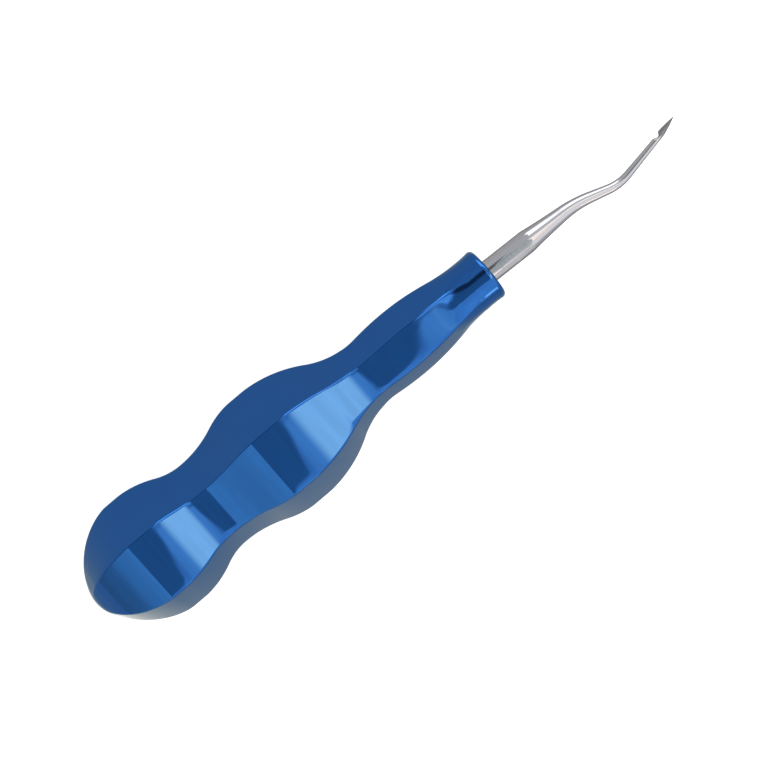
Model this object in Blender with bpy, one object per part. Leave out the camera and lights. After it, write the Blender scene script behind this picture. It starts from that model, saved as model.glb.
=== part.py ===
"""Dental spade elevator: a six-faced handle with three lobes, and a bent steel working end with a spade blade.

Metres, +Z up. The instrument lies as it comes to rest, on one face of its handle, with the handle axis along +X.
The origin is on the surface it lies on, under the middle of its length.
"""

import math

import bmesh
import bpy
from mathutils import Vector

# Handle: lengths along its axis, from the nose at the rear to the mouth of the collar
NOSE_LENGTH = 0.01512
LAND_LENGTH = 0.0015  # short flat at the crest of each of the two big lobes, which the handle lies on
REAR_LOBE_TO_WAIST = 0.01496
WAIST_TO_MIDDLE_LOBE = 0.01678
MIDDLE_LOBE_TO_WAIST = 0.0239
WAIST_TO_FRONT_LOBE = 0.00889
FRONT_LOBE_TO_COLLAR = 0.01947
COLLAR_LENGTH = 0.0035

# Handle: radii, out to the creases where it has six faces
BIG_LOBE_RADIUS = 0.01412  # of the rear and the middle lobe alike, so that the axis lies level
REAR_WAIST_RADIUS = 0.01063
FRONT_WAIST_RADIUS = 0.00729
FRONT_LOBE_RADIUS = 0.00783
COLLAR_WAIST_RADIUS = 0.0058
COLLAR_MOUTH_RADIUS = 0.00595

# Handle: how full its curves are, and its edges
NOSE_FULLNESS = 1.753  # exponent of the nose's superellipse, where 2 is an ellipse
REAR_LOBE_SHARE = 0.616  # share of the run between a lobe and a waist that the lobe's arc takes
MIDDLE_LOBE_REAR_SHARE = 0.44
MIDDLE_LOBE_FRONT_SHARE = 0.604
FRONT_LOBE_REAR_SHARE = 0.85
FRONT_LOBE_FRONT_SHARE = 0.59
CREASE_RADIUS = 0.0006
CREASE_MOST_SHARE = 0.25  # most of the section's radius that the crease's rounding takes
NOSE_ROUND_LENGTH = 0.0025  # the creases run out over this length of the nose
CREASE_FADE_LENGTH = 0.0085  # the creases run out over this length behind the round collar
ROUND_COLLAR_LENGTH = 0.0054
COLLAR_EDGE_RADIUS = 0.001

# Fit of the tang in the handle
FIT_GAP = 0.0003
TANG_RADIUS = 0.0019
TANG_LENGTH = 0.028
TANG_CHAMFER = 0.0004
DRILL_POINT_ANGLE = math.radians(118)

# Working end: the bar, its flats and its taper
BAR_RADIUS = 0.0025
FLATS_LENGTH = 0.0097
FLAT_COUNT = 12
NECK_RADIUS = 0.00042  # the taper eases towards this radius and never quite reaches it
TAPER_EASE_LENGTH = 0.0168

# Working end: the course of its centre line, from the shoulder to the point of the blade
SHANK_LEAN = math.radians(1.9)  # the bar leaves the handle leaning to the right by this much
LENGTH_TO_FIRST_BEND = 0.0189
FIRST_BEND_RADIUS = 0.0257
FIRST_BEND_ANGLE = math.radians(15)
LENGTH_BETWEEN_BENDS = 0.0042
SECOND_BEND_RADIUS = 0.0108
SECOND_BEND_ANGLE = math.radians(27.9)
LENGTH_BEFORE_HEEL = 0.0086

# Blade: along its length
HEEL_LENGTH = 0.0014
SHOULDER_LENGTH = 0.001
POINT_LENGTH = 0.0042
# Blade: across it
BLADE_WIDTH = 0.0036
NOTCH_WIDTH = 0.00132
# Heights over the shank's centre line, on the inner side of the second bend
RIM_HEIGHT = 0.00046
NOTCH_HEIGHT = 0.00002
POINT_HEIGHT = 0.00032
FACE_HOLLOW = 0.00014
BLADE_OUTLINE_POWER = 1.6
SPINE_POWER = 1.4

# Fineness of the facets
RING_STEP = 0.0019
NOSE_RINGS = 9
EDGE_RINGS = 3
CORNER_POINTS = 3
FACE_POINTS = 3
FACES = 6
BAR_POINTS = 24
BAR_RING_STEP = 0.0014
HEEL_RINGS = 4
SHOULDER_RINGS = 5
POINT_RINGS = 9
BORE_POINTS = 24
SMOOTH_ANGLE = math.radians(30)

BLUE_ANODISED = {"name": "blue_anodised_aluminium", "color": (0.018, 0.115, 0.36), "metallic": 1.0, "roughness": 0.16}
STAINLESS = {"name": "polished_stainless_steel", "color": (0.56, 0.55, 0.54), "metallic": 1.0, "roughness": 0.24}


def clear_scene():
    for obj in list(bpy.data.objects):
        bpy.data.objects.remove(obj, do_unlink=True)


def make_material(finish):
    material = bpy.data.materials.new(finish["name"])
    material.use_nodes = True
    shader = material.node_tree.nodes["Principled BSDF"]
    shader.inputs["Base Color"].default_value = (*finish["color"], 1.0)
    shader.inputs["Metallic"].default_value = finish["metallic"]
    shader.inputs["Roughness"].default_value = finish["roughness"]
    material.diffuse_color = (*finish["color"], 1.0)
    return material


def smooth_step(value):
    value = min(max(value, 0.0), 1.0)
    return value * value * (3.0 - 2.0 * value)


def mix(start, end, share):
    return start + (end - start) * share


def turned(radius, angle):
    return Vector((radius * math.cos(angle), radius * math.sin(angle)))


def loft(name, rings, apex_at_start=None, apex_at_end=None):
    """One closed body through rings of as many points each. An end without an apex gets a flat cap."""
    form = bmesh.new()
    loops = [[form.verts.new(point) for point in ring] for ring in rings]
    count = len(loops[0])
    for near, far in zip(loops, loops[1:]):
        for i in range(count):
            j = (i + 1) % count
            form.faces.new((near[i], near[j], far[j], far[i]))
    for loop, apex in ((loops[0], apex_at_start), (loops[-1], apex_at_end)):
        if apex is None:
            form.faces.new(loop)
            continue
        tip = form.verts.new(apex)
        for i in range(count):
            form.faces.new((loop[i], loop[(i + 1) % count], tip))
    bmesh.ops.recalc_face_normals(form, faces=form.faces)
    mesh = bpy.data.meshes.new(name)
    form.to_mesh(mesh)
    form.free()
    obj = bpy.data.objects.new(name, mesh)
    bpy.context.scene.collection.objects.link(obj)
    return obj


# Handle


def arcs_between(distance, length, radius_from, radius_to, share_from):
    """Radius on two arcs that meet at a tangent, and leave both ends of the run level with the axis."""
    change = radius_to - radius_from
    if abs(change) < 1e-9:
        return radius_from
    both_radii = (length**2 + change**2) / (2 * abs(change))
    sign = math.copysign(1.0, change)
    if distance <= share_from * length:
        arc = both_radii * share_from
        return radius_from + sign * (arc - math.sqrt(max(arc**2 - distance**2, 0.0)))
    arc = both_radii * (1.0 - share_from)
    left = length - distance
    return radius_to - sign * (arc - math.sqrt(max(arc**2 - left**2, 0.0)))


def handle_runs():
    """(length, radius at its start, radius at its end, share of the first arc) of each run ahead of the nose."""
    big, rear, front = BIG_LOBE_RADIUS, REAR_WAIST_RADIUS, FRONT_WAIST_RADIUS
    return (
        (LAND_LENGTH, big, big, 1.0),
        (REAR_LOBE_TO_WAIST, big, rear, REAR_LOBE_SHARE),
        (WAIST_TO_MIDDLE_LOBE, rear, big, 1.0 - MIDDLE_LOBE_REAR_SHARE),
        (LAND_LENGTH, big, big, 1.0),
        (MIDDLE_LOBE_TO_WAIST, big, front, MIDDLE_LOBE_FRONT_SHARE),
        (WAIST_TO_FRONT_LOBE, front, FRONT_LOBE_RADIUS, 1.0 - FRONT_LOBE_REAR_SHARE),
        (FRONT_LOBE_TO_COLLAR, FRONT_LOBE_RADIUS, COLLAR_WAIST_RADIUS, FRONT_LOBE_FRONT_SHARE),
        (COLLAR_LENGTH - COLLAR_EDGE_RADIUS, COLLAR_WAIST_RADIUS, COLLAR_MOUTH_RADIUS, 1.0),
    )


HANDLE_LENGTH = NOSE_LENGTH + sum(run[0] for run in handle_runs()) + COLLAR_EDGE_RADIUS


def handle_profile():
    """(place along the axis, radius) of each ring, from the nose to the collar's mouth."""
    rings = []
    for k in range(1, NOSE_RINGS + 1):
        angle = math.pi / 2 * k / NOSE_RINGS
        share = (1.0 - math.cos(angle) ** NOSE_FULLNESS) ** (1.0 / NOSE_FULLNESS)
        rings.append((NOSE_LENGTH * (1.0 - math.cos(angle)), BIG_LOBE_RADIUS * share))
    start = NOSE_LENGTH
    for length, radius_from, radius_to, share in handle_runs():
        steps = 1 if radius_from == radius_to else math.ceil(length / RING_STEP)
        for k in range(1, steps + 1):
            distance = length * k / steps
            rings.append((start + distance, arcs_between(distance, length, radius_from, radius_to, share)))
        start += length
    for k in range(1, EDGE_RINGS + 1):
        inset = turned(COLLAR_EDGE_RADIUS, math.pi / 2 * k / EDGE_RINGS)
        rings.append((start + inset.y, COLLAR_MOUTH_RADIUS - COLLAR_EDGE_RADIUS + inset.x))
    return rings


def handle_roundness(place):
    """0 where the section has its six faces, 1 where it is round."""
    at_nose = 1.0 - smooth_step(place / NOSE_ROUND_LENGTH)
    fade_end = HANDLE_LENGTH - ROUND_COLLAR_LENGTH
    at_collar = smooth_step((place - fade_end + CREASE_FADE_LENGTH) / CREASE_FADE_LENGTH)
    return max(at_nose, at_collar)


def handle_section(radius, roundness):
    """Points round a hexagon with rounded corners, drawn towards a circle through the corners."""
    sector = 2 * math.pi / FACES
    fillet = min(CREASE_RADIUS, CREASE_MOST_SHARE * radius)
    to_fillet_centre = radius - fillet / math.cos(sector / 2)
    spacing = sector / (CORNER_POINTS + FACE_POINTS)
    points = []
    for face in range(FACES):
        corner, next_corner = face * sector, (face + 1) * sector
        six_faced = []
        for k in range(CORNER_POINTS):
            on_arc = sector * (k / (CORNER_POINTS - 1) - 0.5)
            six_faced.append(turned(to_fillet_centre, corner) + turned(fillet, corner + on_arc))
        face_start = six_faced[-1]
        face_end = turned(to_fillet_centre, next_corner) + turned(fillet, next_corner - sector / 2)
        for k in range(1, FACE_POINTS + 1):
            six_faced.append(face_start.lerp(face_end, k / (FACE_POINTS + 1)))
        first = corner - spacing * (CORNER_POINTS - 1) / 2
        for k, point in enumerate(six_faced):
            points.append(point.lerp(turned(radius, first + spacing * k), roundness))
    return points


def make_bore_cutter():
    """A drilled blind hole for the tang, which runs out past the collar's mouth."""
    radius = TANG_RADIUS + FIT_GAP
    bottom = HANDLE_LENGTH - TANG_LENGTH - FIT_GAP
    drill_point = bottom - radius / math.tan(DRILL_POINT_ANGLE / 2)
    circle = [turned(radius, 2 * math.pi * k / BORE_POINTS) for k in range(BORE_POINTS)]
    places = (bottom, HANDLE_LENGTH + COLLAR_LENGTH)
    rings = [[Vector((place, *point)) for point in circle] for place in places]
    cutter = loft("bore_cutter", rings, apex_at_start=Vector((drill_point, 0, 0)))
    cutter.hide_render = True
    cutter.display_type = "WIRE"
    return cutter


def make_handle():
    rings = []
    for place, radius in handle_profile():
        section = handle_section(radius, handle_roundness(place))
        rings.append([Vector((place, *point)) for point in section])
    handle = loft("handle", rings, apex_at_start=Vector((0, 0, 0)))
    cutter = make_bore_cutter()
    cutter.parent = handle
    bore = handle.modifiers.new("bore", "BOOLEAN")
    bore.operation = "DIFFERENCE"
    bore.solver = "EXACT"
    bore.object = cutter
    return handle


# Working end


def centre_line():
    """(length, turn to the left) of each stretch, from the shoulder to the start of the blade's heel and past it."""
    blade = HEEL_LENGTH + SHOULDER_LENGTH + POINT_LENGTH
    return (
        (LENGTH_TO_FIRST_BEND, 0.0),
        (FIRST_BEND_RADIUS * FIRST_BEND_ANGLE, -FIRST_BEND_ANGLE),
        (LENGTH_BETWEEN_BENDS, 0.0),
        (SECOND_BEND_RADIUS * SECOND_BEND_ANGLE, SECOND_BEND_ANGLE),
        (LENGTH_BEFORE_HEEL + blade, 0.0),
    )


def point_on_line(distance):
    """(point, heading) at this distance from the shoulder. The tang lies at distances below zero."""
    if distance <= 0:
        return Vector((distance, 0)), 0.0
    point, heading = Vector((0, 0)), -SHANK_LEAN
    for length, turn in centre_line():
        part = min(distance, length)
        if turn == 0:
            point += turned(part, heading)
        else:
            radius, new_heading = length / turn, heading + turn * part / length
            point.x += radius * (math.sin(new_heading) - math.sin(heading))
            point.y += radius * (math.cos(heading) - math.cos(new_heading))
            heading = new_heading
        distance -= part
    return point, heading


def on_line(distance, inward, up):
    """A point of a section: inward is towards the inner side of the second bend."""
    point, heading = point_on_line(distance)
    point += turned(inward, heading + math.pi / 2)
    return Vector((point.x, point.y, up))


def bar_radius(distance):
    """Radius of the round bar: straight as far as the flats go, then a taper that eases off."""
    past_flats = max(distance - FLATS_LENGTH, 0.0)
    return NECK_RADIUS + (BAR_RADIUS - NECK_RADIUS) * math.exp(-past_flats / TAPER_EASE_LENGTH)


def bar_section(distance):
    """The round bar, with flats ground on it that run out where the taper is thinner than they are."""
    between_flats = 2 * math.pi / FLAT_COUNT
    flat_distance = BAR_RADIUS * math.cos(between_flats / 2)
    ring = []
    for k in range(BAR_POINTS):
        angle = 2 * math.pi * k / BAR_POINTS
        off_flat = (angle + between_flats / 2) % between_flats - between_flats / 2
        radius = min(bar_radius(distance), flat_distance / math.cos(off_flat))
        ring.append(on_line(distance, *turned(radius, angle)))
    return ring


def blade_section(distance, half_width, rim, crown, spine, power):
    """An outline with a rim on each side, a crown on the inner side of the bend and a spine on the outer side.

    The heights are over the centre line. A power of 1 gives a round bar, and 2 a sharper rim.
    """
    ring = []
    for k in range(BAR_POINTS):
        angle = 2 * math.pi * k / BAR_POINTS
        reach = crown - rim if math.cos(angle) > 0 else spine - rim
        inward = rim + reach * abs(math.cos(angle)) ** power
        ring.append(on_line(distance, inward, half_width * math.sin(angle)))
    return ring


def blade_rings(heel_start):
    """Rings of the heel, the shoulders and the point, and the apex that the point ends in."""
    notch_at = heel_start + HEEL_LENGTH
    shoulder_at = notch_at + SHOULDER_LENGTH
    neck = bar_radius(heel_start)

    def spine(distance):
        share = (distance - notch_at) / (SHOULDER_LENGTH + POINT_LENGTH)
        return mix(-neck, POINT_HEIGHT, share**SPINE_POWER)

    rings = []
    for k in range(HEEL_RINGS):
        share = smooth_step(k / HEEL_RINGS)
        rings.append(
            blade_section(
                heel_start + HEEL_LENGTH * k / HEEL_RINGS,
                mix(neck, NOTCH_WIDTH / 2, share),
                mix(0.0, NOTCH_HEIGHT, share),
                mix(neck, NOTCH_HEIGHT, share),
                -neck,
                1.0,
            )
        )
    for k in range(SHOULDER_RINGS):
        share = smooth_step(k / SHOULDER_RINGS)
        rim = mix(NOTCH_HEIGHT, RIM_HEIGHT, share)
        distance = notch_at + SHOULDER_LENGTH * k / SHOULDER_RINGS
        rings.append(
            blade_section(
                distance,
                mix(NOTCH_WIDTH, BLADE_WIDTH, share) / 2,
                rim,
                rim - FACE_HOLLOW * share,
                spine(distance),
                1.0 + share,
            )
        )
    for k in range(POINT_RINGS):
        share = k / POINT_RINGS
        width_left = 1.0 - share**BLADE_OUTLINE_POWER
        rim = mix(RIM_HEIGHT, POINT_HEIGHT, share)
        distance = shoulder_at + POINT_LENGTH * share
        rings.append(
            blade_section(
                distance,
                BLADE_WIDTH / 2 * width_left,
                rim,
                rim - FACE_HOLLOW * width_left,
                spine(distance),
                2.0,
            )
        )
    return rings, on_line(shoulder_at + POINT_LENGTH, POINT_HEIGHT, 0.0)


def tang_ring(distance, radius):
    angles = [2 * math.pi * k / BAR_POINTS for k in range(BAR_POINTS)]
    return [on_line(distance, *turned(radius, angle)) for angle in angles]


def make_working_end():
    heel_start = sum(length for length, _ in centre_line()) - HEEL_LENGTH - SHOULDER_LENGTH - POINT_LENGTH
    rings = [
        tang_ring(-TANG_LENGTH, TANG_RADIUS - TANG_CHAMFER),
        tang_ring(TANG_CHAMFER - TANG_LENGTH, TANG_RADIUS),
        tang_ring(0.0, TANG_RADIUS),
        bar_section(0.0),
    ]
    steps = math.ceil((heel_start - FLATS_LENGTH) / BAR_RING_STEP)
    for k in range(steps):
        rings.append(bar_section(mix(FLATS_LENGTH, heel_start, k / steps)))
    blade, point = blade_rings(heel_start)
    return loft("working_end", rings + blade, apex_at_end=point)


def main():
    clear_scene()
    handle = make_handle()
    working_end = make_working_end()
    half_sector = math.pi / FACES
    axis_height = BIG_LOBE_RADIUS * math.cos(half_sector)
    reach, _ = point_on_line(sum(length for length, _ in centre_line()))
    shoulder = HANDLE_LENGTH + FIT_GAP
    rear = -(shoulder + reach.x) / 2
    handle.location = (rear, 0, axis_height)
    working_end.location = (rear + shoulder, 0, axis_height)
    for obj, finish in ((handle, BLUE_ANODISED), (working_end, STAINLESS)):
        obj.data.materials.append(make_material(finish))
        obj.data.shade_smooth()
        obj.data.set_sharp_from_angle(angle=SMOOTH_ANGLE)


main()
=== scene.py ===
"""Dental spade elevator, dressed for the camera on a pale floor.

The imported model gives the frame: metres, +X along the handle towards the blade, +Z up, and +Y towards the
inner side of the bend nearest the blade. Both pieces are modelled finer than their solids, on the same sizes,
and stand for them.
"""

import logging
import math
from dataclasses import dataclass, replace
from enum import Enum
from typing import Callable, Iterable, Optional

import bmesh
import bpy
from mathutils import Matrix, Vector

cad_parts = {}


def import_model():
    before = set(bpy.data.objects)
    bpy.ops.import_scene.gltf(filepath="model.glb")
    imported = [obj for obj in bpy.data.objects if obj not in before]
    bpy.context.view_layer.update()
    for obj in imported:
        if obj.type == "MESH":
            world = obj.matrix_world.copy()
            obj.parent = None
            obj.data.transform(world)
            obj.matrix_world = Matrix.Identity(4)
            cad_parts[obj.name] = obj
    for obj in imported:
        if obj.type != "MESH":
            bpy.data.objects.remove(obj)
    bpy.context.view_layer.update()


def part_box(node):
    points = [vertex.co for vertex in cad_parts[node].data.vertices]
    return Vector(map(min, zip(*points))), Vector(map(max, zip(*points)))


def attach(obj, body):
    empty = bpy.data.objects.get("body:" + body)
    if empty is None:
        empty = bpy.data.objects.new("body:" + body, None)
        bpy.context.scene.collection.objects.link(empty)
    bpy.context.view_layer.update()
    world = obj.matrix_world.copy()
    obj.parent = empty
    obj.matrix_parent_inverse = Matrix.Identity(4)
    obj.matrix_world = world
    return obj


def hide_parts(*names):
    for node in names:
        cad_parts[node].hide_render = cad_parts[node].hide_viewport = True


Tree = bpy.types.NodeTree
Socket = bpy.types.NodeSocket
Colour = tuple[float, float, float, float]
Span = tuple[float, float]
Run = tuple[float, float, float, float]

LOG = logging.getLogger("spade_elevator")
BODY = "root"
MM = 0.001
FIT_GAP = 0.3 * MM  # between the two solids, which the dressed working end closes to a seam
SAME = 1e-6  # places, in metres, and shares closer than this count as the same
MERGE_DISTANCE = 1e-7
SHARP_ANGLE = math.radians(35)  # edges sharper than this aren't shaded smooth
BROAD_FACE_WEIGHT = 80  # how far a broad face holds the shading flat, out of 100
NOISE_LOW, NOISE_HIGH = 0.3, 0.7  # nearly all that a noise node gives lies between these
FLOOR_SIZE = 6.0
FACING_X = (0.0, math.pi / 2, 0.0)  # turn of a primitive whose axis then lies along X


def linear_colour(hex_code: str) -> Colour:
    """Turn an sRGB hex colour to linear values.

    Args:
        hex_code: six hex digits, with or without a leading #.

    Returns:
        Red, green, blue and an alpha of 1, in linear light.
    """
    digits = hex_code.lstrip("#")
    channels = []
    for start in (0, 2, 4):
        value = int(digits[start : start + 2], 16) / 255
        channels.append(value / 12.92 if value <= 0.04045 else ((value + 0.055) / 1.055) ** 2.4)
    return channels[0], channels[1], channels[2], 1.0


def add_node(tree: Tree, kind: str, settings: dict, links: Optional[dict] = None) -> bpy.types.Node:
    """Add a node with its settings and links.

    Args:
        tree: node tree that the node goes into.
        kind: Blender's name for the kind of node.
        settings: value of each property, or of each input where the key is an input's name or number.
        links: output socket that each input takes its value from.

    Returns:
        The new node.
    """
    node = tree.nodes.new(kind)
    for key, value in settings.items():
        if isinstance(key, int) or key in node.inputs:
            node.inputs[key].default_value = value
        else:
            setattr(node, key, value)
    for key, socket in (links or {}).items():
        tree.links.new(socket, node.inputs[key])
    return node


def start_material(name: str) -> tuple[bpy.types.Material, Socket]:
    """Start an empty node material.

    Args:
        name: the real material and its finish.

    Returns:
        The material, and the socket that gives each point's place on its object.
    """
    material = bpy.data.materials.new(name)
    material.use_nodes = True
    material.node_tree.nodes.clear()
    return material, add_node(material.node_tree, "ShaderNodeTexCoord", {}).outputs["Object"]


def smooth_step(value: float) -> float:
    """Ease from 0 to 1 as the value goes from 0 to 1."""
    value = min(max(value, 0.0), 1.0)
    return value * value * (3.0 - 2.0 * value)


def mix(start: float, end: float, share: float) -> float:
    """Go from start to end by this share."""
    return start + (end - start) * share


class Side(Enum):
    """A side of the blade's section: the face, inside the last bend, or the back, outside it."""

    FACE = "face"
    BACK = "back"


@dataclass(frozen=True)
class BladeSection:
    """A section across the blade, whose face and back meet in a rim on each side.

    Heights are over the centre line. Keen is 1 where the face and the back are half-round, and 2 where they
    meet the rims at a sharp angle.
    """

    place: float
    half_width: float
    rim: float
    crown: float
    spine: float
    keen: float = 1.0

    def height(self, side: Side) -> float:
        """Give how far this side's middle stands over the rim, and never quite nothing."""
        height = (self.crown if side is Side.FACE else self.spine) - self.rim
        return height if abs(height) > SAME else SAME

    def holds(self, co: Vector) -> bool:
        """Say whether a point lies in this section's plane."""
        return abs(co.x - self.place) < SAME

    def side_of(self, co: Vector) -> Side:
        """Say which side a point of the section belongs to."""
        level = max(1.0 - (co.z / self.half_width) ** 2, 0.0) ** (self.keen / 2)
        middle = self.rim + (self.height(Side.FACE) + self.height(Side.BACK)) / 2 * level
        return Side.FACE if co.y > middle else Side.BACK


class OpenMesh:
    """A mesh open in edit mode, shaped from one ring. The next operator acts on what was extruded last."""

    def __init__(self, obj: bpy.types.Object) -> None:
        """Open the object's mesh with all of it selected.

        Args:
            obj: mesh object to shape, which becomes the active one.
        """
        self.obj = obj
        bpy.context.view_layer.objects.active = obj
        bpy.ops.object.mode_set(mode="EDIT")
        bpy.ops.mesh.select_mode(type="VERT")
        bpy.ops.mesh.select_all(action="SELECT")

    def picked(self) -> list[Vector]:
        """Give the places of the selected points."""
        return [point.co.copy() for point in bmesh.from_edit_mesh(self.obj.data).verts if point.select]

    def pick(self, wanted: Callable[[Vector], bool]) -> None:
        """Select only the points whose place is wanted.

        Args:
            wanted: says for a place whether its point is selected.
        """
        form = bmesh.from_edit_mesh(self.obj.data)
        for point in form.verts:
            point.select = wanted(point.co)
        form.select_flush_mode()
        bmesh.update_edit_mesh(self.obj.data)

    def pick_edges(self, wanted: Callable[[Vector, Vector], bool]) -> None:
        """Select only the edges whose two ends are wanted.

        Args:
            wanted: says for the places of both ends whether the edge is selected.
        """
        bpy.ops.mesh.select_mode(type="EDGE")
        bpy.ops.mesh.select_all(action="DESELECT")
        form = bmesh.from_edit_mesh(self.obj.data)
        for edge in form.edges:
            edge.select_set(wanted(edge.verts[0].co, edge.verts[1].co))
        bmesh.update_edit_mesh(self.obj.data)

    def extrude(self, shift: Vector) -> None:
        """Extrude the selection and move it.

        Args:
            shift: how far the new points move.
        """
        bpy.ops.mesh.extrude_region()
        bpy.ops.transform.translate(value=shift)

    def advance(self, distance: float, factor: float = 1.0, centre: Optional[Vector] = None) -> None:
        """Extrude the selection along the axis, and scale the new points across it.

        Args:
            distance: how far the new points move.
            factor: scale across the axis.
            centre: point that stays where it is, if they are scaled.
        """
        self.extrude(Vector((distance, 0.0, 0.0)))
        if centre is not None:
            self.resize((1.0, factor, factor), centre)

    def resize(self, factors: tuple[float, float, float], centre: Vector) -> None:
        """Scale the selection about a point.

        Args:
            factors: scale along each axis.
            centre: point that stays where it is.
        """
        bpy.ops.transform.resize(value=factors, center_override=centre)

    def close_pole(self) -> None:
        """Merge the selection into one point at its middle."""
        bpy.ops.mesh.merge(type="CENTER")

    def finish(self) -> None:
        """Merge doubles, turn all faces outwards and go back to object mode."""
        bpy.ops.mesh.select_all(action="SELECT")
        bpy.ops.mesh.remove_doubles(threshold=MERGE_DISTANCE)
        bpy.ops.mesh.normals_make_consistent(inside=False)
        bpy.ops.object.mode_set(mode="OBJECT")


def start_from(name: str) -> bpy.types.Object:
    """Name the primitive that was just added and put its place into its mesh.

    Args:
        name: name of the piece that it is the start of.

    Returns:
        The primitive's object, at the origin.
    """
    obj = bpy.context.object
    obj.name = name
    obj.data.name = name
    bpy.ops.object.transform_apply(location=True, rotation=True, scale=True)
    return obj


def make_active(obj: bpy.types.Object) -> None:
    """Select this object alone and make it the active one."""
    bpy.ops.object.select_all(action="DESELECT")
    obj.select_set(True)
    bpy.context.view_layer.objects.active = obj


def shade_smooth(obj: bpy.types.Object) -> None:
    """Shade smooth but for sharp edges, with broad faces kept flat against the narrow ones beside them."""
    make_active(obj)
    bpy.ops.object.shade_smooth_by_angle(angle=SHARP_ANGLE)
    weighted = obj.modifiers.new("broad_faces_flat", "WEIGHTED_NORMAL")
    weighted.keep_sharp = True
    weighted.weight = BROAD_FACE_WEIGHT
    bpy.ops.object.modifier_apply(modifier=weighted.name)


@dataclass(frozen=True)
class FineMarks:
    """Fine marks that the last polish leaves in a metal, with more haze where they stand higher."""

    along: float
    across: float
    depth: float
    detail: float
    haze_spread: float

    def add(self, tree: Tree, place: Socket, roughness: float) -> dict[str, Socket]:
        """Add the marks to a material.

        Args:
            tree: the material's node tree.
            place: the socket that gives each point's place on its object.
            roughness: the metal's middle roughness.

        Returns:
            The sockets for the shader's roughness and normal.
        """
        scale = (1 / self.along, 1 / self.across, 1 / self.across)
        stretched = add_node(tree, "ShaderNodeMapping", {"Scale": scale}, {"Vector": place}).outputs[0]
        settings = {"Scale": 1.0, "Detail": self.detail}
        marks = add_node(tree, "ShaderNodeTexNoise", settings, {"Vector": stretched}).outputs[0]
        settings = {"Strength": 1.0, "Distance": self.depth}
        bump = add_node(tree, "ShaderNodeBump", settings, {"Height": marks})
        settings = {
            "From Min": NOISE_LOW,
            "From Max": NOISE_HIGH,
            "To Min": roughness * (1.0 - self.haze_spread),
            "To Max": roughness * (1.0 + self.haze_spread),
        }
        haze = add_node(tree, "ShaderNodeMapRange", settings, {"Value": marks})
        return {"Roughness": haze.outputs[0], "Normal": bump.outputs[0]}


@dataclass(frozen=True)
class AnodisedAluminium:
    """Aluminium turned and milled, mirror-polished and then dyed blue in the anodising bath.

    The metal under the dye gives blue reflections, and the clear oxide over it adds a white gloss that grows
    towards grazing views. The dye varies faintly over centimetres, and the last polish leaves fine marks
    along the handle.
    """

    dye: str = "#295688"
    dye_deep: str = "#275385"
    glancing: str = "#D4D7CE"
    roughness: float = 0.05
    oxide_coat: float = 0.15
    oxide_roughness: float = 0.03
    oxide_ior: float = 1.6
    cloud_width: float = 9 * MM
    marks: FineMarks = FineMarks(9 * MM, 0.35 * MM, depth=0.0004 * MM, detail=3.0, haze_spread=0.2)

    def material(self) -> bpy.types.Material:
        """Build the node material."""
        material, place = start_material("anodised_aluminium_polished")
        tree = material.node_tree
        settings = {"Scale": 1 / self.cloud_width, "Detail": 2.0}
        cloud = add_node(tree, "ShaderNodeTexNoise", settings, {"Vector": place})
        settings = {"data_type": "RGBA", 6: linear_colour(self.dye_deep), 7: linear_colour(self.dye)}
        dye = add_node(tree, "ShaderNodeMix", settings, {0: cloud.outputs[0]})
        settings = {
            "Metallic": 1.0,
            "Specular Tint": linear_colour(self.glancing),
            "Coat Weight": self.oxide_coat,
            "Coat Roughness": self.oxide_roughness,
            "Coat IOR": self.oxide_ior,
        }
        links = {"Base Color": dye.outputs[2], **self.marks.add(tree, place, self.roughness)}
        shader = add_node(tree, "ShaderNodeBsdfPrincipled", settings, links)
        add_node(tree, "ShaderNodeOutputMaterial", {}, {"Surface": shader.outputs[0]})
        return material


@dataclass(frozen=True)
class PolishedStainless:
    """Hardened stainless steel bar, ground round its axis and then polished.

    It mirrors the studio a little softly, and the grinding shows as faint rings with more or less haze.
    """

    steel: str = "#919296"
    glancing: str = "#ADADAF"
    roughness: float = 0.14
    rings: FineMarks = FineMarks(0.3 * MM, 6 * MM, depth=0.0012 * MM, detail=4.0, haze_spread=0.3)

    def material(self) -> bpy.types.Material:
        """Build the node material."""
        material, place = start_material("stainless_steel_polished")
        tree = material.node_tree
        settings = {
            "Base Color": linear_colour(self.steel),
            "Metallic": 1.0,
            "Specular Tint": linear_colour(self.glancing),
        }
        links = self.rings.add(tree, place, self.roughness)
        shader = add_node(tree, "ShaderNodeBsdfPrincipled", settings, links)
        add_node(tree, "ShaderNodeOutputMaterial", {}, {"Surface": shader.outputs[0]})
        return material


@dataclass(frozen=True)
class OpalFloor:
    """Pale opal acrylic of a light table, matt on top and lit from below, so that shadows on it are weak."""

    acrylic: str = "#929292"
    shade: str = "#8F8F8F"
    glow: float = 0.56
    roughness: float = 0.9
    gloss: float = 0.1
    cloud_width: float = 60 * MM

    def material(self) -> bpy.types.Material:
        """Build the node material."""
        material, place = start_material("opal_acrylic_matt")
        tree = material.node_tree
        cloud = add_node(tree, "ShaderNodeTexNoise", {"Scale": 1 / self.cloud_width}, {"Vector": place})
        settings = {"data_type": "RGBA", 6: linear_colour(self.shade), 7: linear_colour(self.acrylic)}
        colour = add_node(tree, "ShaderNodeMix", settings, {0: cloud.outputs[0]})
        settings = {
            "Roughness": self.roughness,
            "Specular IOR Level": self.gloss,
            "Emission Color": linear_colour("#FFFFFF"),
            "Emission Strength": self.glow,
        }
        shader = add_node(tree, "ShaderNodeBsdfPrincipled", settings, {"Base Color": colour.outputs[2]})
        add_node(tree, "ShaderNodeOutputMaterial", {}, {"Surface": shader.outputs[0]})
        return material


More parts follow.
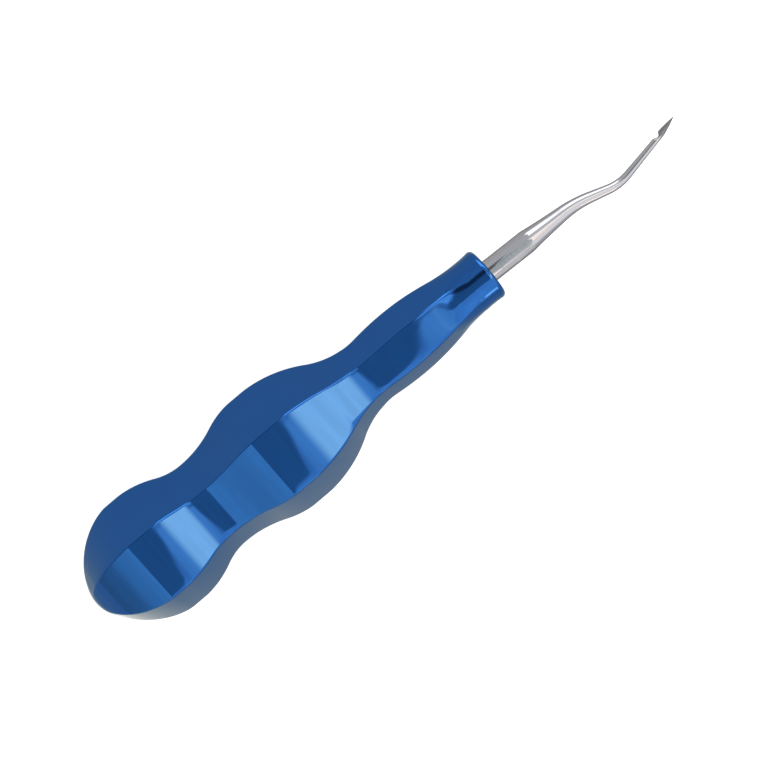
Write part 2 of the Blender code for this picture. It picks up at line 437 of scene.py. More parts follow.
@dataclass
class Handle:
    """The anodised grip: six faces over three lobes, a round collar and a blind bore for the tang."""

    rear: float
    axis_height: float
    nose_length: float = 15.12 * MM
    land_length: float = 1.5 * MM
    rear_lobe_to_waist: float = 14.96 * MM
    waist_to_middle_lobe: float = 16.78 * MM
    middle_lobe_to_waist: float = 23.9 * MM
    waist_to_front_lobe: float = 8.89 * MM
    front_lobe_to_collar: float = 19.47 * MM
    collar_length: float = 3.5 * MM
    big_lobe_radius: float = 14.12 * MM
    rear_waist_radius: float = 10.63 * MM
    front_waist_radius: float = 7.29 * MM
    front_lobe_radius: float = 7.83 * MM
    collar_waist_radius: float = 5.8 * MM
    collar_mouth_radius: float = 5.95 * MM
    nose_fullness: float = 1.753
    rear_lobe_share: float = 0.616
    middle_lobe_rear_share: float = 0.44
    middle_lobe_front_share: float = 0.604
    front_lobe_rear_share: float = 0.85
    front_lobe_front_share: float = 0.59
    crease_radius: float = 0.6 * MM
    soft_creases_start: float = 72 * MM  # the creases are worn softer from here to the collar
    soft_crease_share: float = 0.94  # share of the radius beyond which a point belongs to a crease
    soft_crease_passes: int = 8
    face_crown: float = 0.05 * MM
    nose_round_length: float = 2.5 * MM
    crease_fade_length: float = 8.5 * MM
    round_collar_length: float = 5.4 * MM
    collar_edge_radius: float = 1.0 * MM
    bore_radius: float = 2.2 * MM
    bore_depth: float = 28.3 * MM
    drill_point_length: float = 1.32 * MM
    ring_step: float = 0.42 * MM
    nose_rings: int = 60
    edge_rings: int = 6
    face_cuts: int = 9
    crease_segments: int = 4
    faces: int = 6

    def runs(self) -> tuple[Run, ...]:
        """List the runs ahead of the nose.

        Returns:
            Length, radius at the start, radius at the end and the first arc's share of each run.
        """
        big, rear, front = self.big_lobe_radius, self.rear_waist_radius, self.front_waist_radius
        lobe, neck = self.front_lobe_radius, self.collar_waist_radius
        return (
            (self.land_length, big, big, 1.0),
            (self.rear_lobe_to_waist, big, rear, self.rear_lobe_share),
            (self.waist_to_middle_lobe, rear, big, 1.0 - self.middle_lobe_rear_share),
            (self.land_length, big, big, 1.0),
            (self.middle_lobe_to_waist, big, front, self.middle_lobe_front_share),
            (self.waist_to_front_lobe, front, lobe, 1.0 - self.front_lobe_rear_share),
            (self.front_lobe_to_collar, lobe, neck, self.front_lobe_front_share),
            (self.collar_length - self.collar_edge_radius, neck, self.collar_mouth_radius, 1.0),
        )

    def length(self) -> float:
        """Give the length from the nose to the collar's mouth."""
        return self.nose_length + sum(run[0] for run in self.runs()) + self.collar_edge_radius

    @staticmethod
    def radius_on_run(distance: float, run: Run) -> float:
        """Find the radius on two arcs that meet at a tangent and leave both ends of the run level.

        Args:
            distance: distance from the start of the run.
            run: length, radius at the start, radius at the end and the first arc's share.

        Returns:
            The radius out to the creases.
        """
        length, start, end, share = run
        change = end - start
        if abs(change) < SAME:
            return start
        both_arcs = (length**2 + change**2) / (2 * abs(change))
        sign = math.copysign(1.0, change)
        if distance <= share * length:
            arc = both_arcs * share
            return start + sign * (arc - math.sqrt(max(arc**2 - distance**2, 0.0)))
        arc = both_arcs * (1.0 - share)
        left = length - distance
        return end - sign * (arc - math.sqrt(max(arc**2 - left**2, 0.0)))

    def radius_at(self, place: float) -> float:
        """Find the radius out to the creases.

        Args:
            place: distance from the end of the nose.

        Returns:
            The radius there.
        """
        if place <= self.nose_length:
            share = 1.0 - place / self.nose_length
            return self.big_lobe_radius * (1.0 - share**self.nose_fullness) ** (1.0 / self.nose_fullness)
        left = place - self.nose_length
        for run in self.runs():
            if left <= run[0] + SAME:
                return self.radius_on_run(left, run)
            left -= run[0]
        return self.collar_mouth_radius

    def roundness_at(self, place: float) -> float:
        """Say how far the section has gone from six faces, which is 0, to round, which is 1."""
        at_nose = 1.0 - smooth_step(place / self.nose_round_length)
        fade_end = self.length() - self.round_collar_length
        at_collar = smooth_step((place - fade_end + self.crease_fade_length) / self.crease_fade_length)
        return max(at_nose, at_collar)

    def crown_height_at(self, place: float) -> float:
        """Say how far the middle of a face stands over the flat between its creases.

        Args:
            place: distance from the end of the nose.

        Returns:
            The height, which is most on the big lobes.
        """
        height = self.face_crown * (self.radius_at(place) / self.big_lobe_radius) ** 2
        return height * (1.0 - self.roundness_at(place)) * smooth_step(place / self.nose_length)

    def crown_faces(self, ring: OpenMesh, places: Iterable[float]) -> None:
        """Bulge the faces of these rings, and draw the creases in where a face would reach too far.

        Args:
            ring: the open mesh.
            places: distances from the nose.
        """
        apothem = math.cos(math.pi / self.faces)
        for place in places:
            height = self.crown_height_at(place)
            if height < SAME:
                continue
            centre = self.axis_point(place)
            radius = self.radius_at(place)
            ring.pick(lambda co: abs(co.x - centre.x) < SAME and self.reach(co) > radius / 2)
            excess = height / apothem
            left = max(1.0 - (self.big_lobe_radius - radius) / (2 * excess), 0.0)
            wanted = self.corner_reach(ring) * (1.0 - excess * left**2 / radius)
            bpy.ops.transform.tosphere(value=height / (radius * (1.0 - apothem)))
            factor = wanted / self.corner_reach(ring)
            ring.resize((1.0, factor, factor), centre)

    def soften_creases(self, ring: OpenMesh) -> None:
        """Wear the creases of the front lobe softer, as polishing does where the grip is thin.

        Args:
            ring: the open mesh.
        """
        start = self.rear + self.soft_creases_start
        end = self.rear + self.length() - self.round_collar_length
        share = self.soft_crease_share
        ring.pick(lambda co: start < co.x < end and self.reach(co) > share * self.radius_at(co.x - self.rear))
        bpy.ops.mesh.vertices_smooth(factor=0.5, repeat=self.soft_crease_passes, xaxis=False)

    def ring_places(self) -> tuple[list[float], list[float]]:
        """Place the rings on both sides of the first one, which stands on the middle lobe.

        Returns:
            Places from there to the collar's rounded edge, and places from there back to the nose.
        """
        places = []
        start = self.nose_length
        for run in self.runs():
            steps = math.ceil(run[0] / self.ring_step)
            places.extend(start + run[0] * k / steps for k in range(1, steps + 1))
            start += run[0]
        first = self.first_place()
        ahead = [place for place in places if place > first + SAME]
        behind = [place for place in places if place < first - SAME][::-1] + [self.nose_length]
        for k in range(1, self.nose_rings):
            angle = math.pi / 2 * (1.0 - k / self.nose_rings)
            behind.append(self.nose_length * (1.0 - math.cos(angle)))
        return ahead, behind

    def first_place(self) -> float:
        """Give the place of the first ring, at the front of the middle lobe's land."""
        return self.nose_length + sum(run[0] for run in self.runs()[:4])

    def axis_point(self, place: float) -> Vector:
        """Give the point of the axis at this distance from the nose."""
        return Vector((self.rear + place, 0.0, self.axis_height))

    def first_ring(self) -> bpy.types.Object:
        """Make the six-sided ring with rounded corners that both halves are extruded from.

        Returns:
            The piece's object, holding that ring.
        """
        place = self.first_place()
        bpy.ops.mesh.primitive_circle_add(
            vertices=self.faces,
            radius=self.radius_at(place),
            fill_type="NGON",
            location=self.axis_point(place),
            rotation=FACING_X,
        )
        obj = start_from("anodised_handle")
        ring = OpenMesh(obj)
        tangent = self.crease_radius * math.tan(math.pi / self.faces)
        bpy.ops.mesh.bevel(affect="VERTICES", offset=tangent, segments=self.crease_segments, profile=0.5)
        bpy.ops.mesh.delete(type="ONLY_FACE")
        ring.pick_edges(lambda a, b: (a - b).length > 4 * tangent)
        bpy.ops.mesh.subdivide(number_cuts=self.face_cuts)
        bpy.ops.mesh.select_mode(type="VERT")
        bpy.ops.mesh.select_all(action="SELECT")
        return obj

    def reach(self, co: Vector) -> float:
        """Measure how far a point is from the axis."""
        return math.hypot(co.y, co.z - self.axis_height)

    def corner_reach(self, ring: OpenMesh) -> float:
        """Measure how far the selected ring reaches from the axis."""
        return max(self.reach(point) for point in ring.picked())

    def extrude_rings(self, ring: OpenMesh, places: Iterable[float], loss: float) -> None:
        """Extrude the selected ring to each place in turn, with the radius and roundness of that place.

        Args:
            ring: the open mesh, with the first ring selected.
            places: distances from the nose.
            loss: share of the radius that the rounding of the corners takes off.
        """
        at, roundness = self.first_place(), 0.0
        reach = self.corner_reach(ring)
        for place in places:
            ring.advance(place - at)
            wanted = self.roundness_at(place)
            if wanted > roundness + SAME:
                bpy.ops.transform.tosphere(value=(wanted - roundness) / (1.0 - roundness))
                reach = self.corner_reach(ring)
            target = self.radius_at(place) * (1.0 - loss * (1.0 - wanted))
            ring.resize((1.0, target / reach, target / reach), self.axis_point(place))
            at, roundness, reach = place, wanted, target

    def extrude_mouth(self, ring: OpenMesh) -> None:
        """Round the collar's edge, close its face in to the bore and drill the bore.

        Args:
            ring: the open mesh, with the collar's last ring selected.
        """
        end = self.length()
        at, radius = end - self.collar_edge_radius, self.collar_mouth_radius
        for k in range(1, self.edge_rings + 1):
            angle = math.pi / 2 * k / self.edge_rings
            place = end - self.collar_edge_radius * (1.0 - math.sin(angle))
            smaller = self.collar_mouth_radius - self.collar_edge_radius * (1.0 - math.cos(angle))
            ring.advance(place - at, smaller / radius, self.axis_point(place))
            at, radius = place, smaller
        ring.advance(0.0, self.bore_radius / radius, self.axis_point(end))
        ring.advance(-self.bore_depth)
        ring.advance(-self.drill_point_length)
        ring.close_pole()

    def build(self) -> bpy.types.Object:
        """Model the handle as one closed body.

        Returns:
            The piece's object.
        """
        obj = self.first_ring()
        ring = OpenMesh(obj)
        first_x = self.axis_point(self.first_place()).x
        loss = 1.0 - self.corner_reach(ring) / self.radius_at(self.first_place())
        ahead, behind = self.ring_places()
        self.extrude_rings(ring, ahead, loss)
        self.extrude_mouth(ring)
        ring.pick(lambda co: abs(co.x - first_x) < SAME and self.reach(co) > 2 * self.bore_radius)
        self.extrude_rings(ring, behind, loss)
        ring.advance(-min(behind))
        ring.close_pole()
        self.crown_faces(ring, [self.first_place(), *ahead, *behind])
        self.soften_creases(ring)
        ring.finish()
        shade_smooth(obj)
        return obj


@dataclass
class WorkingEnd:
    """The steel end: a tang, a twelve-sided bar, its taper, two bends and the spade blade behind its notch.

    It is modelled straight along +X from the shoulder, with +Y as the inner side of the bend nearest the
    blade, and then bent along its centre line.
    """

    shoulder: float
    axis_height: float
    seat_reach: float = 0.28 * MM  # how far the bar's shoulder is set back to meet the collar
    tang_radius: float = 1.9 * MM
    tang_length: float = 28 * MM
    tang_chamfer: float = 0.4 * MM
    bar_radius: float = 2.5 * MM
    bar_chamfer: float = 0.12 * MM
    flats_length: float = 9.7 * MM
    flat_count: int = 12
    flat_edge: float = 0.09 * MM
    neck_radius: float = 0.42 * MM
    taper_ease_length: float = 16.8 * MM
    lean: float = math.radians(1.9)
    length_to_first_bend: float = 18.9 * MM
    first_bend_radius: float = 25.7 * MM
    first_bend_angle: float = math.radians(15)
    length_between_bends: float = 4.2 * MM
    second_bend_radius: float = 10.8 * MM
    second_bend_angle: float = math.radians(27.9)
    length_before_heel: float = 8.6 * MM
    heel_length: float = 1.4 * MM
    shoulder_length: float = 1.0 * MM
    point_length: float = 4.2 * MM
    blade_width: float = 3.6 * MM
    notch_width: float = 1.32 * MM
    rim_height: float = 0.46 * MM
    notch_height: float = 0.02 * MM
    point_height: float = 0.32 * MM
    face_hollow: float = 0.14 * MM
    notch_crown: float = 0.02 * MM
    outline_power: float = 1.6
    spine_power: float = 1.4
    tip_share: float = 1e-3  # of the last section's width, before it closes to a point
    section_points: int = 48
    bar_step: float = 0.5 * MM
    path_step: float = 0.35 * MM
    heel_rings: int = 8
    shoulder_rings: int = 8
    point_rings: int = 24

    def course(self) -> tuple[Span, ...]:
        """List the stretches of the centre line from the shoulder.

        Returns:
            Length and turn to the left of each.
        """
        return (
            (self.length_to_first_bend, 0.0),
            (self.first_bend_radius * self.first_bend_angle, -self.first_bend_angle),
            (self.length_between_bends, 0.0),
            (self.second_bend_radius * self.second_bend_angle, self.second_bend_angle),
            (self.length_before_heel + self.blade_length(), 0.0),
        )

    def blade_length(self) -> float:
        """Give the length of the heel, the shoulders and the point together."""
        return self.heel_length + self.shoulder_length + self.point_length

    def heel_start(self) -> float:
        """Give the distance from the shoulder to the start of the heel."""
        return sum(length for length, _ in self.course()) - self.blade_length()

    def radius_at(self, distance: float) -> float:
        """Find the round bar's radius, which is straight along the flats and then eases off.

        Args:
            distance: distance from the shoulder.

        Returns:
            The radius before the flats are ground.
        """
        past_flats = max(distance - self.flats_length, 0.0)
        easing = math.exp(-past_flats / self.taper_ease_length)
        return self.neck_radius + (self.bar_radius - self.neck_radius) * easing

    def extrude_bar(self, ring: OpenMesh) -> None:
        """Extrude the tang, the bar and its taper up to the heel.

        Args:
            ring: the open mesh, with the tang's end selected.
        """
        heel = self.heel_start()
        stations = [
            (self.tang_chamfer - self.tang_length, self.tang_radius),
            (-self.seat_reach, self.tang_radius),
            (-self.seat_reach, self.bar_radius - self.bar_chamfer),
            (self.bar_chamfer - self.seat_reach, self.bar_radius),
            (self.flats_length, self.bar_radius),
        ]
        steps = math.ceil((heel - self.flats_length) / self.bar_step)
        for k in range(1, steps + 1):
            distance = mix(self.flats_length, heel, k / steps)
            stations.append((distance, self.radius_at(distance)))
        at, radius = -self.tang_length, self.tang_radius - self.tang_chamfer
        for place, wanted in stations:
            ring.advance(place - at, wanted / radius, Vector((place, 0.0, 0.0)))
            at, radius = place, wanted

    def blade_sections(self) -> list[BladeSection]:
        """Lay out the sections of the heel, the shoulders and the point.

        Returns:
            The sections in order, with the bar's end as the first one.
        """
        heel = self.heel_start()
        notch = heel + self.heel_length
        shoulders = notch + self.shoulder_length
        neck = self.radius_at(heel)
        head = self.shoulder_length + self.point_length
        sections = [BladeSection(heel, neck, 0.0, neck, -neck)]
        for k in range(1, self.heel_rings + 1):
            share = smooth_step(k / self.heel_rings)
            rim = mix(0.0, self.notch_height, share)
            crown = mix(neck, self.notch_height + self.notch_crown, share)
            half = mix(neck, self.notch_width / 2, share)
            place = heel + self.heel_length * k / self.heel_rings
            sections.append(BladeSection(place, half, rim, crown, -neck))
        for k in range(1, self.shoulder_rings + self.point_rings):
            if k <= self.shoulder_rings:
                share = smooth_step(k / self.shoulder_rings)
                place = notch + self.shoulder_length * k / self.shoulder_rings
                rim = mix(self.notch_height, self.rim_height, share)
                half = mix(self.notch_width, self.blade_width, share) / 2
                crown = rim + mix(self.notch_crown, -self.face_hollow, share)
            else:
                share = (k - self.shoulder_rings) / self.point_rings
                width_left = 1.0 - share**self.outline_power
                place = shoulders + self.point_length * share
                rim = mix(self.rim_height, self.point_height, share)
                half = self.blade_width / 2 * width_left
                crown = rim - self.face_hollow * width_left
            spine = mix(-neck, self.point_height, ((place - notch) / head) ** self.spine_power)
            sections.append(BladeSection(place, half, rim, crown, spine, keen=2.0))
        return sections

    def sharpen_rims(self, ring: OpenMesh, section: BladeSection) -> None:
        """Turn the half-round section to one whose face and back meet in a keen rim.

        Args:
            ring: the open mesh.
            section: the section that is changed.
        """
        for k in range(1, self.section_points // 4):
            angle = 2 * math.pi * k / self.section_points
            across = section.half_width * math.sin(angle)
            slack = section.half_width * 1e-3
            ring.pick(lambda co: section.holds(co) and abs(abs(co.z) - across) < slack)
            ring.resize((1.0, math.cos(angle), 1.0), Vector((section.place, section.rim, 0.0)))
        ring.pick(section.holds)

    def extrude_blade(self, ring: OpenMesh) -> None:
        """Extrude the heel, the notch and the blade, and close its point.

        Args:
            ring: the open mesh, with the bar's end selected.
        """
        sections = self.blade_sections()
        for old, new in zip(sections, sections[1:]):
            if new.keen > old.keen:
                self.sharpen_rims(ring, old)
                old = replace(old, keen=new.keen)
            ring.advance(new.place - old.place)
            moved = replace(old, place=new.place)
            centre = Vector((new.place, old.rim, 0.0))
            for side in Side:
                ring.pick(lambda co: moved.holds(co) and moved.side_of(co) is side)
                ring.resize((1.0, new.height(side) / old.height(side), 1.0), centre)
            ring.pick(moved.holds)
            bpy.ops.transform.translate(value=(0.0, new.rim - old.rim, 0.0))
            ring.resize((1.0, 1.0, new.half_width / old.half_width), Vector((new.place, 0.0, 0.0)))
        tip = self.heel_start() + self.blade_length()
        ring.advance(tip - sections[-1].place, self.tip_share, Vector((tip, self.point_height, 0.0)))
        ring.close_pole()

    def grind_flats(self, obj: bpy.types.Object) -> None:
        """Cut the bar to twelve flats, which run out where the taper is thinner than they are.

        Args:
            obj: the straight working end.
        """
        reach = self.heel_start() + self.blade_length()
        bpy.ops.mesh.primitive_cylinder_add(
            vertices=self.flat_count,
            radius=self.bar_radius,
            depth=2 * (reach + self.tang_length),
            location=(0.0, 0.0, 0.0),
            rotation=FACING_X,
        )
        prism = start_from("flats_cutter")
        bpy.ops.object.mode_set(mode="EDIT")
        bpy.ops.mesh.select_all(action="SELECT")
        bpy.ops.transform.rotate(
            value=math.pi / self.flat_count, orient_axis="X", center_override=(0.0, 0.0, 0.0)
        )
        bpy.ops.object.mode_set(mode="OBJECT")
        make_active(obj)
        flats = obj.modifiers.new("flats", "BOOLEAN")
        flats.operation = "INTERSECT"
        flats.solver = "EXACT"
        flats.object = prism
        bpy.ops.object.modifier_apply(modifier=flats.name)
        bpy.data.objects.remove(prism, do_unlink=True)
        edges = OpenMesh(obj)
        shortest, least_radius = self.flats_length / 2, self.tang_radius + self.flat_edge
        edges.pick_edges(lambda a, b: abs(a.x - b.x) > shortest and math.hypot(a.y, a.z) > least_radius)
        bpy.ops.mesh.bevel(affect="EDGES", offset=self.flat_edge, segments=2, profile=0.5)
        bpy.ops.mesh.select_mode(type="VERT")
        edges.finish()

    def centre_line(self) -> bpy.types.Object:
        """Draw the centre line by extruding and spinning a point.

        Returns:
            A curve object from the end of the tang to the tip.
        """
        bpy.ops.mesh.primitive_circle_add(vertices=3, radius=MM, location=(-self.tang_length, 0.0, 0.0))
        obj = start_from("centre_line")
        line = OpenMesh(obj)
        line.close_pole()
        at, heading = Vector((-self.tang_length, 0.0, 0.0)), 0.0
        for length, turn in ((self.tang_length, 0.0), *self.course()):
            steps = math.ceil(length / self.path_step)
            for _ in range(steps):
                heading += turn / steps / 2
                step = Matrix.Rotation(heading, 3, "Z") @ Vector((length / steps, 0.0, 0.0))
                line.extrude(step)
                at += step
                heading += turn / steps / 2
            if heading == 0.0:
                heading = -self.lean
        bpy.ops.object.mode_set(mode="OBJECT")
        bpy.ops.object.convert(target="CURVE")
        curve = bpy.context.object
        curve.data.twist_mode = "Z_UP"
        return curve

    def bend(self, obj: bpy.types.Object) -> None:
        """Bend the straight piece along its centre line and set it against the collar.

        Args:
            obj: the straight working end.
        """
        curve = self.centre_line()
        make_active(obj)
        obj.data.transform(Matrix.Translation((self.tang_length, 0.0, 0.0)))
        bends = obj.modifiers.new("bends", "CURVE")
        bends.object = curve
        bends.deform_axis = "POS_X"
        bpy.ops.object.modifier_apply(modifier=bends.name)
        bpy.data.objects.remove(curve, do_unlink=True)
        obj.data.transform(Matrix.Translation((self.shoulder, 0.0, self.axis_height)))

    def build(self) -> bpy.types.Object:
        """Model the working end as one closed body.

        Returns:
            The piece's object.
        """
        bpy.ops.mesh.primitive_circle_add(
            vertices=self.section_points,
            radius=self.tang_radius - self.tang_chamfer,
            fill_type="NGON",
            location=(-self.tang_length, 0.0, 0.0),
            rotation=FACING_X,
        )
        obj = start_from("steel_working_end")
        ring = OpenMesh(obj)
        self.extrude_bar(ring)
        self.extrude_blade(ring)
        ring.finish()
        self.grind_flats(obj)
        self.bend(obj)
        shade_smooth(obj)
        return obj


@dataclass(frozen=True)
class Panel:
    """A soft-edged part of the light tent.

    Along is how far a direction points to the tip, from -1 to 1. Angle goes round the instrument's axis, in
    degrees from the horizon on the inner side of the bend nearest the blade, over the top, to the horizon on
    the other side.
    """

    along: Span
    angle: Span
    light: float
    tint: str = "#FFFFFF"
    soft_along: float = 0.04
    soft_angle: float = 3.0


class TentNodes:
    """The light tent's node tree while it fills up. Its steps go by where the light comes from."""

    def __init__(self, tree: Tree, full: float) -> None:
        """Start the tree with how far a direction points to the tip and its angle round the axis.

        Args:
            tree: the world's node tree.
            full: the brightness that counts as 1.
        """
        tree.nodes.clear()
        self.tree = tree
        self.full = full
        self.direction = add_node(tree, "ShaderNodeTexCoord", {}).outputs["Generated"]
        self.along, across, up = add_node(tree, "ShaderNodeSeparateXYZ", {}, {0: self.direction}).outputs
        self.angle = self.calculate("DEGREES", self.calculate("ARCTAN2", up, across))

    def calculate(self, operation: str, *values: Socket | float) -> Socket:
        """Add a step of arithmetic.

        Args:
            operation: Blender's name for the operation.
            values: numbers or sockets that go into it, in order.

        Returns:
            The socket with the result.
        """
        settings = {number: value for number, value in enumerate(values) if isinstance(value, (int, float))}
        links = {number: value for number, value in enumerate(values) if number not in settings}
        return add_node(self.tree, "ShaderNodeMath", {"operation": operation, **settings}, links).outputs[0]

    def edge(self, value: Socket, ends: Span, levels: Span, kind: str = "SMOOTHSTEP") -> Socket:
        """Add a soft edge.

        Args:
            value: what the edge goes by.
            ends: values at which the edge starts and ends.
            levels: results before and after the edge.
            kind: Blender's name for the way from one to the other.

        Returns:
            The socket that goes from one level to the other.
        """
        settings = {
            "interpolation_type": kind,
            "From Min": ends[0],
            "From Max": ends[1],
            "To Min": levels[0],
            "To Max": levels[1],
        }
        return add_node(self.tree, "ShaderNodeMapRange", settings, {"Value": value}).outputs[0]

    def colour(self, tint: str, light: float) -> Colour:
        """Give the colour of a light as a share of the full brightness."""
        red, green, blue = (channel * light / self.full for channel in linear_colour(tint)[:3])
        return red, green, blue, 1.0

    def ramp(self, value: Socket, stops: tuple[Span, ...], tint: str = "#FFFFFF") -> Socket:
        """Add a brightness that changes evenly from stop to stop.

        Args:
            value: what it goes by.
            stops: values and the brightness at each, in order.
            tint: colour of the light.

        Returns:
            The socket with the colour.
        """
        first, last = stops[0][0], stops[-1][0]
        share = self.edge(value, (first, last), (0.0, 1.0), "LINEAR")
        node = add_node(self.tree, "ShaderNodeValToRGB", {}, {0: share})
        elements = node.color_ramp.elements
        while len(elements) < len(stops):
            elements.new(0.5)
        for element, (place, light) in zip(elements, stops):
            element.position = (place - first) / (last - first)
            element.color = self.colour(tint, light)
        return node.outputs[0]

    def covered(self, panel: Panel) -> Socket:
        """Say how far a direction is covered by a panel, from 0 beside it to 1 on it."""
        sides = []
        for value, limits, soft in (
            (self.along, panel.along, panel.soft_along),
            (self.angle, panel.angle, panel.soft_angle),
        ):
            for limit, levels in zip(limits, ((0.0, 1.0), (1.0, 0.0))):
                sides.append(self.edge(value, (limit - soft / 2, limit + soft / 2), levels))
        share = sides[0]
        for side in sides[1:]:
            share = self.calculate("MULTIPLY", share, side)
        return share

    def blend(self, share: Socket, before: Socket, after: Socket | Colour) -> Socket:
        """Blend two colours.

        Args:
            share: how much of the second is taken.
            before: the first colour.
            after: the second colour.

        Returns:
            The socket with the result.
        """
        settings, links = {"data_type": "RGBA"}, {0: share, 6: before}
        (settings if isinstance(after, tuple) else links)[7] = after
        return add_node(self.tree, "ShaderNodeMix", settings, links).outputs[2]

    def hang(self, behind: Socket, share: Socket, panel: Panel) -> Socket:
        """Hang a panel in front of what is there so far.

        Args:
            behind: the tent so far.
            share: how far a direction is covered by the panel.
            panel: the panel.

        Returns:
            The socket with the tent and the panel.
        """
        return self.blend(share, behind, self.colour(panel.tint, panel.light))


@dataclass(frozen=True)
class LightTent:
    """A soft white tent over the floor, with a dim opening over the instrument for the camera.

    The opening is square but for one corner, which is cut off slanting. A dark slot runs beside the camera,
    the tip side has a warm lamp behind the cloth, and the tail side dims towards the horizon.
    """

    wall: tuple[Span, ...] = (
        *((0, 0.95), (98, 1.1), (106, 1.55), (128, 1.7), (145, 1.65)),
        *((158, 1.3), (168, 1.1), (173, 0.9), (180, 0.85)),
    )  # brightness by angle
    tail: tuple[Span, ...] = (
        *((-1.0, 0.78), (-0.95, 0.92), (-0.8, 1.15)),
        *((-0.7, 1.35), (-0.5, 1.5), (-0.25, 1.55)),
    )  # brightness by along, on the tail part
    tail_tint: str = "#FFFFF5"
    tail_part: Panel = Panel((-2.0, -0.24), (82, 200), light=1.0, soft_along=0.015, soft_angle=6.0)
    panels: tuple[Panel, ...] = (
        Panel((0.14, 2.0), (99, 108), light=1.87, tint="#FFF8F0", soft_along=0.1),
        Panel((0.16, 2.0), (54, 97), light=1.25),
        Panel((0.17, 0.5), (76, 93), light=2.4, tint="#FFF8F0", soft_along=0.06),
        Panel((0.27, 2.0), (-9, 44), light=2.9, soft_along=0.06, soft_angle=8.0),
        Panel((-0.12, 0.1), (149, 158), light=4.0, tint="#FFE6D4", soft_along=0.05, soft_angle=2.0),
        Panel((0.35, 2.0), (95, 112), light=5.3, tint="#FFD0B0", soft_along=0.14, soft_angle=4.0),
    )
    opening: Panel = Panel((-2.0, 0.2), (57, 112), light=0.8, tint="#F0FFFF", soft_along=0.1, soft_angle=4.0)
    corner: tuple[float, float, float] = (100.0, 0.068, 0.24)  # angle that it starts from, slant and reach
    corner_soft: float = 0.1
    slot: Panel = Panel((-2.0, 0.24), (58, 75), light=0.3, soft_along=0.08, soft_angle=10.0)
    fold_width: float = 0.16
    fold_depth: float = 0.05
    full: float = 5.0

    def inside_corner(self, nodes: TentNodes) -> Socket:
        """Say how far a direction is inside the slanting cut of the opening's corner, from 0 to 1."""
        start, slant, reach = self.corner
        past = nodes.calculate("MULTIPLY", nodes.calculate("SUBTRACT", nodes.angle, start), slant)
        soft = self.corner_soft / 2
        return nodes.edge(nodes.calculate("ADD", nodes.along, past), (reach - soft, reach + soft), (1.0, 0.0))

    def build(self) -> None:
        """Light the scene with the tent."""
        world = bpy.data.worlds.new("light_tent")
        bpy.context.scene.world = world
        world.use_nodes = True
        nodes = TentNodes(world.node_tree, self.full)
        tent = nodes.ramp(nodes.angle, self.wall)
        for panel in self.panels:
            tent = nodes.hang(tent, nodes.covered(panel), panel)
        share = nodes.calculate("MULTIPLY", nodes.covered(self.opening), self.inside_corner(nodes))
        tent = nodes.hang(tent, share, self.opening)
        tent = nodes.hang(tent, nodes.covered(self.slot), self.slot)
        tail = nodes.ramp(nodes.along, self.tail, self.tail_tint)
        tent = nodes.blend(nodes.covered(self.tail_part), tent, tail)
        settings = {"Scale": 1 / self.fold_width, "Detail": 2.0}
        folds = add_node(nodes.tree, "ShaderNodeTexNoise", settings, {"Vector": nodes.direction}).outputs[0]
        levels = (self.full * (1.0 - self.fold_depth), self.full * (1.0 + self.fold_depth))
        strength = nodes.edge(folds, (NOISE_LOW, NOISE_HIGH), levels)
        light = add_node(nodes.tree, "ShaderNodeBackground", {}, {"Color": tent, "Strength": strength})
        add_node(nodes.tree, "ShaderNodeOutputWorld", {}, {"Surface": light.outputs[0]})


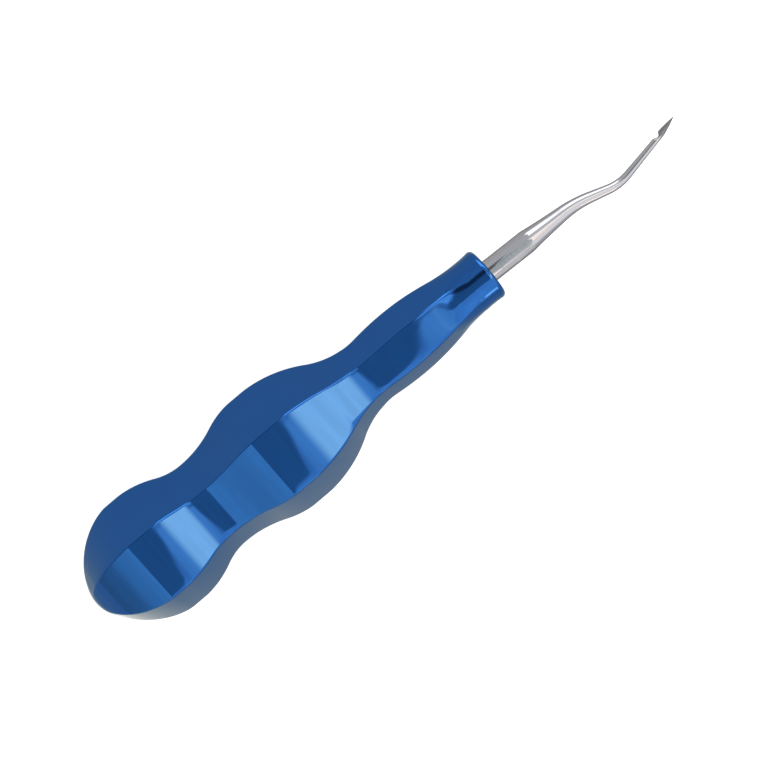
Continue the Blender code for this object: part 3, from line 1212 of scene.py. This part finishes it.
@dataclass(frozen=True)
class Camera:
    """The camera over the instrument, turned so that the blade points to the upper right."""

    axis_height: float
    distance: float = 0.4
    lean: float = math.radians(12)
    roll: float = math.radians(40.1)
    target_along: float = -3.5 * MM
    target_across: float = -3.8 * MM
    pixel: float = 0.20584 * MM
    image_size: int = 768
    sensor: float = 36.0

    def build(self) -> None:
        """Add the camera and make it the scene's own."""
        look = Vector((0.0, math.sin(self.lean), math.cos(self.lean)))
        along = Vector((1.0, 0.0, 0.0))
        across = look.cross(along)
        right = along * math.cos(self.roll) - across * math.sin(self.roll)
        up = along * math.sin(self.roll) + across * math.cos(self.roll)
        target = Vector((self.target_along, 0.0, self.axis_height)) + across * self.target_across
        data = bpy.data.cameras.new("camera")
        data.sensor_width = self.sensor
        data.lens = self.sensor * self.distance / (self.image_size * self.pixel)
        data.clip_start = 0.01
        camera = bpy.data.objects.new("camera", data)
        bpy.context.scene.collection.objects.link(camera)
        turn = Matrix((right, up, look)).transposed().to_4x4()
        camera.matrix_world = Matrix.Translation(target + look * self.distance) @ turn
        bpy.context.scene.camera = camera


def add_floor() -> None:
    """Lay the pale floor that the instrument rests on."""
    bpy.ops.mesh.primitive_plane_add(size=FLOOR_SIZE, location=(0.0, 0.0, 0.0))
    floor = start_from("floor")
    floor.data.materials.append(OpalFloor().material())


def install(piece: bpy.types.Object, node: str, material: bpy.types.Material) -> None:
    """Dress a piece and set it in the place of its solid.

    Args:
        piece: the finished piece.
        node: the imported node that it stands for.
        material: its material.
    """
    piece.data.materials.append(material)
    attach(piece, BODY)
    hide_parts(node)
    low, high = (Vector(map(pick, zip(*(v.co for v in piece.data.vertices)))) for pick in (min, max))
    LOG.info(
        "%s stands for %s: %d faces, %s mm",
        piece.name,
        node,
        len(piece.data.polygons),
        " x ".join(f"{size / MM:.2f}" for size in high - low),
    )


def main() -> None:
    """Build the instrument, the floor, the light and the camera."""
    logging.basicConfig(level=logging.INFO, format="%(name)s: %(message)s")
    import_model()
    low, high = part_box("handle")
    axis_height = (low.z + high.z) / 2
    handle = Handle(rear=low.x, axis_height=axis_height)
    install(handle.build(), "handle", AnodisedAluminium().material())
    working_end = WorkingEnd(shoulder=high.x + FIT_GAP, axis_height=axis_height)
    install(working_end.build(), "working_end", PolishedStainless().material())
    add_floor()
    LightTent().build()
    Camera(axis_height=axis_height).build()
    bpy.context.scene.view_settings.view_transform = "Standard"
    bpy.context.scene.view_settings.look = "High Contrast"


if __name__ == "__main__":
    main()
